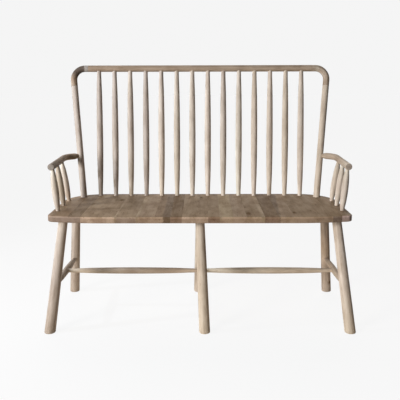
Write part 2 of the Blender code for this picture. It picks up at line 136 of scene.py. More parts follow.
# How much each mark darkens the wood in each finish, or under 0 lightens it
FIGURES = {
    "turned": {
        "blotch": 0.26, "streak": 0.30, "fleck": 0.20, "pore": 0.20, "ray": -0.08, "end_grain": -0.05,
    },
    "steam_bent": {
        "blotch": 0.34, "streak": 0.40, "fleck": 0.25, "pore": 0.24, "ray": -0.10, "end_grain": 0.10,
    },
    "planed": {
        "blotch": 0.44, "streak": 0.14, "fleck": 0.50, "pore": 0.28, "ray": -0.26, "end_grain": 0.02,
    },
}
# The shade of plain wood, and what spring wood and knots add to it
PLAIN_SHADE = 0.20
SPRING_SHADE = 0.10
KNOT_SHADES = {"halo": 0.24, "core": 0.80}
# What shade 0 and shade 1 leave of a tone's red, green and blue: the darker, the browner
PALE_GRAIN = (1.12, 1.14, 1.17)
DARK_GRAIN = (0.42, 0.34, 0.26)
# Oiled oak is matt, and rougher in its dark grain. Pores are hollow, and spring wood a little.
OAK_ROUGHNESS = (0.56, 0.80)
OAK_IOR = 1.45
OAK_SHEEN = 0.15
PORE_DEPTH = 0.0002
PORE_STRENGTH = 0.6
SPRING_HOLLOW = 0.25

# The seat's front arris is painted lighter, partly as wear from use and partly as a painted highlight,
# down to a depth, and its rear rim is painted darker as shade, which fades out over a width and reaches
# round the right end at a share of its strength
WEAR_AND_HIGHLIGHT = 0.42
WEAR_AND_HIGHLIGHT_DEPTH = 0.007
RIM_SHADE = 0.75
RIM_WIDTH = 0.016
RIM_ON_RIGHT = 0.5

# Dowel rod of beech, and its flecks in millimetres
BEECH_TONES = ("#D2B994", "#B9976E")
BEECH_FLECK_MM = 1.43
BEECH_ROUGHNESS = 0.6

# Tones of the bench's oak
OAK_TONES = {
    "milk": "#F4EEE0",
    "chalk": "#EBDFD2",
    "pale": "#E5DBCE",
    "cream": "#E0D3C2",
    "straw": "#D7CBB9",
    "grey": "#D4C9BE",
    "dove": "#CABFB5",
    "tan": "#C9B9A7",
    "brown": "#BEAB97",
    "mouse": "#B8ACA0",
    "stone": "#AFA8A1",
    "chestnut": "#AD9884",
    "ash": "#A89A8B",
    "cocoa": "#998674",
    "smoke": "#91867C",
    "slate": "#7C7067",
    "bark": "#655A51",
}
# The tones of each piece, evenly along it from its foot, its left end or its front end, or on a corner
# of the bow from its post
PIECE_TONES = {
    # The first back spindle's darker foot is painted shadow of the left post
    "back_spindle_01": "mouse dove dove",
    "back_spindle_02": "grey dove",
    "back_spindle_03": "cream grey pale",
    "back_spindle_04": "dove",
    "back_spindle_05": "cream chalk grey",
    "back_spindle_06": "straw pale",
    "back_spindle_07": "pale",
    "back_spindle_08": "chalk",
    "back_spindle_09": "pale grey",
    "back_spindle_10": "milk pale",
    "back_spindle_11": "chalk cream",
    "back_spindle_12": "cream chalk",
    "back_spindle_13": "cream",
    "back_spindle_14": "chalk pale",
    "left_post": "grey",
    "right_post": "cream",
    "left_bow_corner": "brown chestnut bark bark slate",
    "right_bow_corner": "brown tan tan",
    "top_rail": "chestnut brown brown",
    "left_arm": "smoke cocoa brown",
    "right_arm": "cream brown tan",
    # The left arm's spindles are painted lighter towards the arm: painted light where the arm's shadow falls
    "left_arm_spindle_1": "grey pale milk",
    "left_arm_spindle_2": "ash straw straw",
    "left_arm_spindle_3": "brown chalk milk",
    "right_arm_spindle_1": "chalk chalk milk",
    "right_arm_spindle_2": "pale chalk milk",
    "right_arm_spindle_3": "chalk straw",
    # The front left leg is painted lighter at its top: painted light where the seat's shadow falls
    "front_left_leg": "mouse dove pale",
    "front_middle_leg": "straw cream pale",
    "front_right_leg": "straw chalk chalk",
    "rear_left_leg": "mouse mouse grey",
    "rear_middle_leg": "grey milk",
    # The rear right leg is painted darker in its middle: painted shade from the front leg and the seat
    "rear_right_leg": "grey brown grey",
    # The left long stretcher is painted lighter at its left end: painted light over the front left leg's
    # shadow
    "left_long_stretcher": "straw ash tan",
    # The right long stretcher is painted lighter on its left part: painted light over the front middle leg's
    # shadow
    "right_long_stretcher": "milk straw cream",
    # The left cross stretcher is painted darker: painted shade from the front left leg
    "left_cross_stretcher": "ash",
    "middle_cross_stretcher": "tan",
    "right_cross_stretcher": "pale cream brown mouse",
}
# A paler band crosses each corner of the bow near the rail: its tone, and the shares of the corner's
# length where it starts and ends
CORNER_BANDS = {"left_bow_corner": ("stone", 0.875, 1), "right_bow_corner": ("straw", 0.76, 0.87)}
# The sawn front ends of the arms are of another tone than the wood beside them
CUT_TONES = {"left_arm": "stone", "right_arm": "mouse"}

# Staves from left to right: the tone of the top, then of the sawn ends at front and rear
STAVE_TOPS = {
    "bright": "#A89477",
    "light": "#9D876E",
    "even": "#947E63",
    "dull": "#8D765D",
    "dark": "#7D6850",
    "deep": "#776045",
}
STAVE_ENDS = {
    "rosy": "#DAC4BD",
    "bright": "#BAA38E",
    "light": "#B19A82",
    "even": "#AC957F",
    "dull": "#A08D7C",
    "dark": "#927A66",
    "grey": "#928072",
}
STAVE_TONES = (
    ("dull", "grey"), ("dark", "grey"), ("even", "bright"), ("even", "dull"), ("light", "even"),
    ("dull", "even"), ("deep", "dark"), ("even", "bright"), ("even", "bright"), ("even", "dark"),
    ("bright", "light"), ("light", "even"), ("even", "light"), ("deep", "dark"), ("light", "light"),
    ("even", "even"), ("even", "grey"), ("light", "rosy"),
)
# Strips of pale sapwood or dark heartwood along one edge of a stave, and their widths at front and rear.
# A width under 0 means that the strip runs out before it gets there.
STRIP_TONES = {"sapwood": "#AA967C", "heartwood": "#77634E"}
STRIPS = {
    "seat_stave_04": {"tone": "sapwood", "edge": "left", "widths": (0.006, -0.006)},
    "seat_stave_05": {"tone": "sapwood", "edge": "left", "widths": (0.007, 0.018)},
    "seat_stave_06": {"tone": "heartwood", "edge": "right", "widths": (0.026, 0.030)},
    "seat_stave_11": {"tone": "sapwood", "edge": "left", "widths": (0.006, -0.002)},
    "seat_stave_13": {"tone": "sapwood", "edge": "right", "widths": (0.012, 0.016)},
    "seat_stave_15": {"tone": "heartwood", "edge": "left", "widths": (0.002, 0.036)},
}
# Over this width a strip goes over into the stave, half of it on either side of the strip's edge. In
# such widths: how ragged that edge is, and a place far outside for pieces without a strip.
STRIP_FADE = 0.008
HALF_FADE = 0.5
STRIP_RAGGED = 2.0
NO_STRIP = -9

# Knots: the middle of each, and its half sizes, in metres. A piece without one has it far under the
# floor.
KNOTS = {
    "seat_stave_03": ((-0.323, 0.060, 0.450), (0.007, 0.014, 0.010)),
    "seat_stave_09": ((0.006, 0.110, 0.450), (0.005, 0.012, 0.010)),
    "seat_stave_13": ((0.181, -0.197, 0.450), (0.007, 0.022, 0.012)),
    "seat_stave_16": ((0.352, -0.180, 0.450), (0.005, 0.014, 0.010)),
    "rear_right_leg": ((0.577, 0.180, 0.050), (0.006, 0.006, 0.007)),
}
NO_KNOT = ((0, 0, -9), (0.01, 0.01, 0.01))
# A knot's core and halo fade out between these distances from its middle, in half sizes, with an edge
# as ragged as this, and rings bulge past it
KNOT_CORE = (0.5, 1.2)
KNOT_HALO = (0.8, 3.0)
KNOT_RAGGED = 1.2
KNOT_BULGE_MM = 9

# Camera, with its angles in radians
CAMERA_PLACE = (0.0130, -2.3283, 0.9293)
CAMERA_PITCH = 0.19822
CAMERA_YAW = 0.00557
CAMERA_ROLL = -0.00224
CAMERA_LENS_MM = 52.98

# Hooded lamps: the place of each, the point it shines at, its width, its beam in degrees, and the level
# of its light at that point. At level 1 a surface that faces the lamp shows its colour as written. The
# side lamp throws the shadows of the left arm's spindles along the seat.
LAMPS = {
    "key": {
        "place": (-3.68, -3.93, 1.60),
        "aim": (0, 0, 0.45),
        "width": 1.8,
        "beam": 42,
        "level": 0.80,
        "colour": "#FFF9F2",
    },
    "side": {
        "place": (-1.63, -0.41, 1.26),
        "aim": (-0.59, -0.13, 0.45),
        "width": 0.025,
        "beam": 110,
        "level": 0.56,
        "colour": "#EAF2FF",
    },
}
BEAM_SOFTNESS = 0.6
# Far lamps, in degrees: how far each is turned from the camera's side to the right, how far it is raised
# above the floor, and how wide it looks from the bench. The right one keeps that side from going black.
FAR_LAMPS = {
    "back": {"turn": 186, "rise": 43, "width": 50, "level": 0.36, "colour": "#FFF6EC"},
    "right": {"turn": 125, "rise": 8, "width": 60, "level": 0.14, "colour": "#FFF3E4"},
}
FAR_LAMP_DISTANCE = 5
# The dim fill from all round
WORLD_COLOUR = "#FFE6C8"
WORLD_LEVEL = 0.006

# Backdrop and floor as the camera sees them: as bright as each other, so the floor glows by what the
# lamps leave it short of that
BACKDROP_LEVEL = 0.912
FLOOR_TONE = "#5A5A5A"
FLOOR_HALF_SIDE = 40
# The floor as it lights the bench: cream paper, which ends between these distances from its middle
PAPER_TONE = "#F4E3CC"
PAST_PAPER_TONE = "#000000"
PAPER_END = (0.7, 1.2)

# A Mix node's places for two colours, and for the colour that comes out
MIX_FROM = 6
MIX_TO = 7
MIXED = 2

# The same draws each run decide where in a log each piece was cut
LOG = random.Random(11)


def corners_of(node):
    """The corner points of a solid of the frame, each once."""
    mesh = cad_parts[node].data
    points = np.empty(len(mesh.vertices) * 3, np.float32)
    mesh.vertices.foreach_get("co", points)
    points = np.round(points.reshape(-1, 3).astype(float), CORNER_DECIMALS)
    return np.unique(points, axis=0)


def unit(vector):
    """The same direction at length 1."""
    return vector / np.linalg.norm(vector)


class Bar:
    """A straight round solid of the frame, measured: its axis, and how far its corners lie from it."""

    def __init__(self, node):
        points = corners_of(node)
        middle = points.mean(axis=0)
        main = np.linalg.svd(points - middle)[2][0]
        main *= np.sign(main[np.argmax(np.abs(main))])
        along = (points - middle) @ main
        on_floor = points[:, 2] < END_SLICE
        near = on_floor if on_floor.any() else along < along.min() + END_SLICE
        far = along > along.max() - END_SLICE
        self.start = points[near].mean(axis=0)
        self.end = points[far].mean(axis=0)
        self.length = np.linalg.norm(self.end - self.start)
        self.direction = unit(self.end - self.start)
        self.along = (points - self.start) @ self.direction
        foot = self.start + np.outer(self.along, self.direction)
        self.off_axis = np.linalg.norm(points - foot, axis=1)

    def at(self, distance):
        """The point of the axis at a distance from its start, or the points at several."""
        return self.start + np.multiply.outer(distance, self.direction)

    def at_height(self, height):
        """The point of the axis at a height above the floor."""
        return self.at((height - self.start[2]) / self.direction[2])

    def across(self):
        """A unit vector square to the axis."""
        helper = np.eye(3)[np.argmin(np.abs(self.direction))]
        return unit(np.cross(self.direction, helper))

    def widest(self, first, last):
        """The greatest radius between two distances from the start."""
        return self.off_axis[(self.along >= first) & (self.along <= last)].max()

    def rings(self):
        """(distance, radius) of each whole ring of corners, from start to end."""
        place = np.round(self.along / END_SLICE).astype(int)
        found = []
        for key in np.unique(place):
            ring = place == key
            if ring.sum() >= RING_CORNERS:
                found.append((self.along[ring].mean(), self.off_axis[ring].max()))
        return found


def smooth(stations):
    """Distances and radii on a cubic curve through stations of (distance, radius)."""
    at, radius = np.array(stations).T
    slope = np.gradient(radius, at)
    fine = np.linspace(at[0], at[-1], round((at[-1] - at[0]) / RING_STEP) + 1)
    low = np.clip(np.searchsorted(at, fine, side="right") - 1, 0, len(at) - 2)
    span = at[low + 1] - at[low]
    t = (fine - at[low]) / span
    level = radius[low] * (1 + 2 * t) * (1 - t) ** 2 + radius[low + 1] * t**2 * (3 - 2 * t)
    lean = span * t * (1 - t) * (slope[low] * (1 - t) - slope[low + 1] * t)
    return fine, level + lean


def eased(distances, radii, arris, last=True):
    """The same profile with a rounded arris at its first end, and at its last."""
    turn = np.linspace(0, np.pi / 2, ARRIS_STEPS + 1)
    depth = arris * (1 - np.cos(turn))
    loss = arris * (1 - np.sin(turn))
    inside = distances > distances[0] + ARRIS_ROOM * arris
    head = distances[0] + depth
    head_radii = radii[0] - loss
    if not last:
        return np.append(head, distances[inside]), np.append(head_radii, radii[inside])
    inside &= distances < distances[-1] - ARRIS_ROOM * arris
    tail = (distances[-1] - depth)[::-1]
    tail_radii = (radii[-1] - loss)[::-1]
    return (
        np.concatenate([head, distances[inside], tail]),
        np.concatenate([head_radii, radii[inside], tail_radii]),
    )


def lengths_along(path):
    """How far along a path each of its points lies."""
    steps = np.linalg.norm(np.diff(path, axis=0), axis=1)
    return np.append(0, np.cumsum(steps))


def points_along(path, distances):
    """The points of a path at distances along it."""
    lengths = lengths_along(path)
    return np.stack([np.interp(distances, lengths, path[:, k]) for k in range(3)], axis=1)


def straight(start, end):
    """Points from start to end, a ring's step apart, without the end itself."""
    count = max(1, round(np.linalg.norm(end - start) / RING_STEP))
    return [start + (end - start) * step / count for step in range(count)]


def sweep(path, radii, up):
    """Rings of points round a path that bends square to up, and the same rings in straight wood."""
    tangent = np.gradient(path, axis=0)
    tangent /= np.linalg.norm(tangent, axis=1)[:, None]
    side = np.cross(tangent, up)
    turn = np.linspace(0, 2 * np.pi, SIDES, endpoint=False)
    x = np.outer(radii, np.cos(turn))
    y = np.outer(radii, np.sin(turn))
    rings = path[:, None] + x[:, :, None] * side[:, None] + y[:, :, None] * up
    length = np.broadcast_to(lengths_along(path)[:, None], x.shape)
    return rings, np.stack([x, y, length], axis=2)


def skin(rings):
    """A closed shape over rings of equal count, with a flat face at each end."""
    shape = bmesh.new()
    corners = [[shape.verts.new(point) for point in ring] for ring in rings]
    for ring, following in zip(corners, corners[1:]):
        for side in range(len(ring)):
            shape.faces.new((ring[side - 1], ring[side], following[side], following[side - 1]))
    shape.faces.new(corners[0])
    shape.faces.new(corners[-1])
    bmesh.ops.recalc_face_normals(shape, faces=shape.faces)
    return shape


def mesh_of(name, shape):
    """A smooth-shaded mesh from a shape, which is then freed, and its points."""
    mesh = bpy.data.meshes.new(name)
    shape.to_mesh(mesh)
    shape.free()
    mesh.shade_smooth()
    mesh.set_sharp_from_angle(angle=SHARP_ANGLE)
    points = np.empty(len(mesh.vertices) * 3, np.float32)
    mesh.vertices.foreach_get("co", points)
    return mesh, points.reshape(-1, 3).astype(float)


def in_log(wood):
    """Moves a piece's own wood to a place in a log, so that no two pieces show the same figure.

    The log's pith is the Z axis, and the grain runs slightly off it.
    """
    turn = LOG.uniform(0, 2 * math.pi)
    lean = LOG.uniform(-GRAIN_LEAN, GRAIN_LEAN)
    from_pith = LOG.uniform(*FROM_PITH)
    beside_pith = LOG.uniform(-BESIDE_PITH, BESIDE_PITH)
    place = (from_pith, beside_pith, LOG.uniform(0, LOG_LENGTH))
    x, y, z = wood.T
    across = x * math.cos(turn) - y * math.sin(turn) + lean * z
    through = x * math.sin(turn) + y * math.cos(turn)
    return np.stack([across, through, z], axis=1) + place


def put_values(mesh, name, kind, field, values):
    """Writes a value to each point of a mesh, for its material to read."""
    layer = mesh.attributes.new(name, kind, "POINT")
    layer.data.foreach_set(field, np.asarray(values, np.float32).reshape(-1))


def strip_along(node, points):
    """How far each point of a piece lies inside its strip of other wood, and the strip's tone."""
    if node not in STRIPS:
        return np.full(len(points), NO_STRIP), linear(STRIP_TONES["sapwood"])
    strip = STRIPS[node]
    low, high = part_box(node)
    edge = low[0] if strip["edge"] == "left" else high[0]
    width = np.interp(points[:, 1], (low[1], high[1]), strip["widths"])
    return (width - np.abs(points[:, 0] - edge)) / STRIP_FADE, linear(STRIP_TONES[strip["tone"]])


def dress(node, mesh, points, wood, tones, material):
    """Makes a mesh the piece that stands for a solid of the frame, with what its material reads."""
    knot, half_sizes = KNOTS.get(node, NO_KNOT)
    put_values(mesh, "wood", "FLOAT_VECTOR", "vector", in_log(wood))
    put_values(mesh, "from_knot", "FLOAT_VECTOR", "vector", (points - knot) / half_sizes)
    in_strip, strip_tone = strip_along(node, points)
    put_values(mesh, "in_strip", "FLOAT", "value", in_strip)
    put_values(mesh, "strip_tone", "FLOAT_COLOR", "color", np.tile((*strip_tone, 1), (len(points), 1)))
    put_values(mesh, "tone", "FLOAT_COLOR", "color", np.column_stack([tones, np.ones(len(points))]))
    mesh.materials.append(material)
    piece = bpy.data.objects.new(f"{node}_fine", mesh)
    bpy.context.scene.collection.objects.link(piece)
    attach(piece, "root")
    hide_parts(node)


def add_round(node, rings, wood, material):
    """A round piece from its rings, with its tones along it and end grain at its ends."""
    mesh, points = mesh_of(node, skin(rings))
    named = np.array([linear(OAK_TONES[name]) for name in PIECE_TONES[node].split()])
    places = np.linspace(0, 1, len(named))
    along = lengths_along(rings.mean(axis=1))
    along /= along[-1]
    ring_tones = np.stack([np.interp(along, places, named[:, k]) for k in range(3)], axis=1)
    if node in CORNER_BANDS:
        band_tone, band_start, band_end = CORNER_BANDS[node]
        ring_tones[(along >= band_start) & (along <= band_end)] = linear(OAK_TONES[band_tone])
    if node in CUT_TONES:
        ring_tones[0] = linear(OAK_TONES[CUT_TONES[node]])
    end_grain = np.zeros(rings.shape[:2])
    end_grain[[0, -1]] = 1
    put_values(mesh, "end_grain", "FLOAT", "value", end_grain)
    tones = np.repeat(ring_tones, rings.shape[1], axis=0)
    dress(node, mesh, points, wood.reshape(-1, 3), tones, material)


def add_spindle(node, material):
    """A spindle or stretcher: a smooth swell through the rings of its solid."""
    bar = Bar(node)
    distances, radii = smooth(bar.rings())
    rings, wood = sweep(bar.at(distances), radii, bar.across())
    add_round(node, rings, wood, material)


def add_straight(node, material):
    """A post or the top rail: a straight bar with finely eased ends."""
    bar = Bar(node)
    distances = np.linspace(0, bar.length, round(bar.length / RING_STEP) + 1)
    radii = np.full(len(distances), bar.widest(0, bar.length))
    distances, radii = eased(distances, radii, JOINT_ARRIS)
    rings, wood = sweep(bar.at(distances), radii, bar.across())
    add_round(node, rings, wood, material)


def add_leg(node, underside, material):
    """A leg that tapers to the seat's underside, with a foot cut level with the floor."""
    bar = Bar(node)
    foot = bar.widest(-FOOT_FADE, FOOT_FADE)
    top = bar.widest(bar.length - END_SLICE, bar.length + END_SLICE)
    shoulder = (underside - bar.start[2]) / bar.direction[2]
    distances = np.linspace(0, bar.length, round(bar.length / RING_STEP) + 1)
    radii = np.interp(distances, (0, shoulder), (foot, top))
    distances, radii = eased(distances, radii, FOOT_ARRIS, last=False)
    rings, wood = sweep(bar.at(distances), radii, bar.across())
    # Each ring near the floor slides along the leg until it is level
    rise = rings[:, :, 2] - bar.at(distances)[:, None, 2]
    share = np.clip(1 - (distances - FOOT_ARRIS) / FOOT_FADE, 0, 1)
    slide = -rise / bar.direction[2] * (share**2 * (3 - 2 * share))[:, None]
    rings = rings + slide[:, :, None] * bar.direction
    wood[:, :, 2] += slide
    add_round(node, rings, wood, material)


def add_bow_corner(place, material):
    """A bent corner that runs from the end of its post to the end of the rail."""
    post = Bar(f"{place}_post")
    rail = Bar("top_rail")
    if PLACES[place] < 0:
        rail_end, inward = rail.start, rail.direction
    else:
        rail_end, inward = rail.end, -rail.direction
    corner = post.at_height(rail_end[2])
    down = -post.direction
    half_angle = math.acos(down @ inward) / 2
    tangent = BOW_BEND_RADIUS / math.tan(half_angle)
    centre = corner + unit(down + inward) * BOW_BEND_RADIUS / math.sin(half_angle)
    bend_start = corner + down * tangent
    bend_end = corner + inward * tangent
    first = Vector(bend_start - centre).normalized()
    last = Vector(bend_end - centre).normalized()
    path = straight(post.end - down * JOINT_GAP, bend_start)
    for step in range(BEND_STEPS):
        outwards = first.slerp(last, step / BEND_STEPS)
        path.append(centre + np.array(outwards) * BOW_BEND_RADIUS)
    path += straight(bend_end, rail_end - inward * JOINT_GAP)
    path.append(rail_end - inward * JOINT_GAP)
    path = np.array(path)
    lengths = lengths_along(path)
    radius = post.widest(0, post.length)
    distances, radii = eased(lengths, np.full(len(lengths), radius), JOINT_ARRIS)
    rings, wood = sweep(points_along(path, distances), radii, unit(np.cross(down, inward)))
    add_round(f"{place}_bow_corner", rings, wood, material)


def add_arm(place, material):
    """An arm: straight over its spindles, bent into the post and tapered to its tenon there."""
    node = f"{place}_arm"
    side = PLACES[place]
    low, high = (np.array(corner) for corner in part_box(node))
    post = Bar(f"{place}_post")
    post_point = post.at_height((low[2] + high[2]) / 2)

    def heading(angle):
        """The direction to the rear, turned inwards by an angle."""
        return np.array((-side * math.sin(angle), math.cos(angle), 0))

    def bend_point(angle):
        """The point on the bend where the arm has this heading."""
        across = math.cos(angle) - math.cos(ARM_TURN)
        along = math.sin(ARM_TURN) - math.sin(angle)
        return bend_end + ARM_BEND_RADIUS * np.array((side * across, -along, 0))

    entry = heading(ARM_TURN)
    run = heading(-ARM_TOE_IN)
    bend_end = post_point - entry * ARM_ENTRY_RUN
    bend_start = bend_point(-ARM_TOE_IN)
    radius = ARM_DIAMETER / 2
    tenon = ARM_TENON_DIAMETER / 2
    front_y = low[1] + (radius - ARM_ARRIS) * math.sin(ARM_TOE_IN)
    tip = bend_start + run * (front_y - bend_start[1]) / run[1]
    path = straight(tip, bend_start)
    for step in range(BEND_STEPS):
        path.append(bend_point(-ARM_TOE_IN + (ARM_TURN + ARM_TOE_IN) * step / BEND_STEPS))
    tenon_end = post_point - entry * ARM_TENON_STOP
    path += straight(bend_end, tenon_end) + [tenon_end]
    path = np.array(path)
    lengths = lengths_along(path)
    to_post = lengths[-1] + ARM_TENON_STOP - lengths
    post_radius = post.widest(0, post.length)
    taper = np.clip((to_post - post_radius) / (ARM_ENTRY_RUN - post_radius), 0, 1)
    radii = tenon + (radius - tenon) * np.sin(taper * np.pi / 2)
    distances, radii = eased(lengths, radii, ARM_ARRIS, last=False)
    rings, wood = sweep(points_along(path, distances), radii, UP)
    add_round(node, rings, wood, material)


def arc(centre, radius, first, last):
    """Points on an arc between two angles, each with the direction outwards."""
    angles = np.linspace(first, last, OUTLINE_STEPS + 1)
    outwards = np.stack([np.cos(angles), np.sin(angles)], axis=1)
    return np.concatenate([np.array(centre) + radius * outwards, outwards], axis=1)


def seat_outline(half_width, front, rear, inset):
    """The seat's plan, drawn in by an inset: rows of x, y and the direction outwards."""
    quarter = math.pi / 2
    inner_radius = FRONT_SWEEP_RADIUS - FRONT_CORNER_RADIUS
    turn = math.asin((FRONT_SWEEP_LENGTH - FRONT_CORNER_RADIUS) / inner_radius)
    sweep_centre = (half_width - FRONT_SWEEP_LENGTH, front + FRONT_SWEEP_RADIUS)
    corner_centre = (
        sweep_centre[0] + inner_radius * math.sin(turn),
        sweep_centre[1] - inner_radius * math.cos(turn),
    )
    rear_centre = (half_width - REAR_CORNER_RADIUS, rear - REAR_CORNER_RADIUS)
    right = np.concatenate(
        [
            arc(sweep_centre, FRONT_SWEEP_RADIUS - inset, -quarter, turn - quarter)[:-1],
            arc(corner_centre, FRONT_CORNER_RADIUS - inset, turn - quarter, 0),
            arc(rear_centre, REAR_CORNER_RADIUS - inset, 0, quarter),
        ]
    )
    left = right[::-1] * (-1, 1, -1, 1)
    return np.concatenate([right, left])


def seat_panel(low, high):
    """The whole seat as one shape with rounded arrises. Its front and rear edges are end grain."""
    turn = np.linspace(0, np.pi / 2, ARRIS_STEPS + 1)
    drop = SEAT_ARRIS * (1 - np.cos(turn))
    inset = SEAT_ARRIS * (1 - np.sin(turn))
    arris = list(zip(drop, inset, np.sin(turn)))
    # Each level: its height, how far its outline is drawn in, how upright it stands, how much of the wear
    # and painted highlight it takes, and whether it is on the rim of painted shade
    levels = [(low[2] + down, drawn_in, upright, 0, 1) for down, drawn_in, upright in arris]
    levels += [(high[2] - WEAR_AND_HIGHLIGHT_DEPTH, 0, 1, 0, 1)]
    levels += [(high[2] - down, drawn_in, upright, upright, 1) for down, drawn_in, upright in arris[::-1]]
    levels += [(high[2], SEAT_ARRIS + RIM_WIDTH, 0, 0, 0)]
    rings = []
    marks = []
    for height, drawn_in, upright, wear_and_highlight, on_shaded_rim in levels:
        outline = seat_outline(high[0], low[1], high[1], drawn_in)
        rings.append(np.column_stack([outline[:, :2], np.full(len(outline), height)]))
        right, rear = outline[:, 2:].T
        known = {
            "end_grain": upright * np.abs(rear),
            "edge": np.full(len(outline), upright),
            "wear_and_highlight": wear_and_highlight * np.clip(-rear, 0, 1),
            # The rim mark carries painted shade along the rear edge and round the right end
            "shaded_rim": on_shaded_rim * np.clip(rear + RIM_ON_RIGHT * right, 0, 1),
        }
        marks.append([known[mark] for mark in SEAT_MARKS])
    shape = skin(np.array(rings))
    for name, values in zip(SEAT_MARKS, np.concatenate(marks, axis=1)):
        layer = shape.verts.layers.float.new(name)
        for corner, value in zip(shape.verts, values):
            corner[layer] = value
    return shape


def add_seat(material):
    """The staves, each cut from the seat's panel at its glue lines. Gives the height of the underside."""
    nodes = [f"seat_stave_{number + 1:02d}" for number in range(STAVE_COUNT)]
    boxes = [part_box(node) for node in nodes]
    low = np.min([box[0] for box in boxes], axis=0)
    high = np.max([box[1] for box in boxes], axis=0)
    panel = seat_panel(low, high)
    for node, box, (top_tone, end_tone) in zip(nodes, boxes, STAVE_TONES):
        stave = panel.copy()
        for plane, outwards in ((box[0], -1), (box[1], 1)):
            everything = stave.verts[:] + stave.edges[:] + stave.faces[:]
            bmesh.ops.bisect_plane(
                stave, geom=everything, plane_co=plane, plane_no=(outwards, 0, 0), clear_outer=True
            )
        open_edges = [edge for edge in stave.edges if edge.is_boundary]
        bmesh.ops.holes_fill(stave, edges=open_edges)
        bmesh.ops.recalc_face_normals(stave, faces=stave.faces)
        mesh, points = mesh_of(node, stave)
        middle = (box[0] + box[1]) / 2
        wood = (points - np.array(middle))[:, [0, 2, 1]]
        marks = np.empty((len(SEAT_MARKS), len(points)), np.float32)
        for name, values in zip(SEAT_MARKS, marks):
            mesh.attributes[name].data.foreach_get("value", values)
        _, edge, wear_and_highlight, shaded_rim = marks
        top = np.array(linear(STAVE_TOPS[top_tone]))
        end = np.array(linear(STAVE_ENDS[end_tone]))
        tones = top + np.outer(edge, end - top)
        # The front arris gets a lighter tone, partly wear and partly a painted highlight, and the rear rim a
        # darker one that is painted shade
        tones *= (1 + WEAR_AND_HIGHLIGHT * wear_and_highlight - RIM_SHADE * shaded_rim)[:, None]
        dress(node, mesh, points, wood, tones, material)
    panel.free()
    return low[2]


def linear(colour):
    """Linear red, green and blue of an sRGB hex colour."""
    parts = [int(colour[place : place + 2], 16) / 255 for place in (1, 3, 5)]
    return tuple(c / 12.92 if c <= 0.04045 else ((c + 0.055) / 1.055) ** 2.4 for c in parts)


def add_node(tree, kind, inputs, out=0, **settings):
    """Adds a node, applies its settings, sets or links its inputs, and returns one of its outputs."""
    new = tree.nodes.new(f"ShaderNode{kind}")
    for name, value in settings.items():
        setattr(new, name, value)
    for socket, value in inputs.items():
        if isinstance(value, bpy.types.NodeSocket):
            tree.links.new(value, new.inputs[socket])
        else:
            new.inputs[socket].default_value = value
    return new.outputs[out]


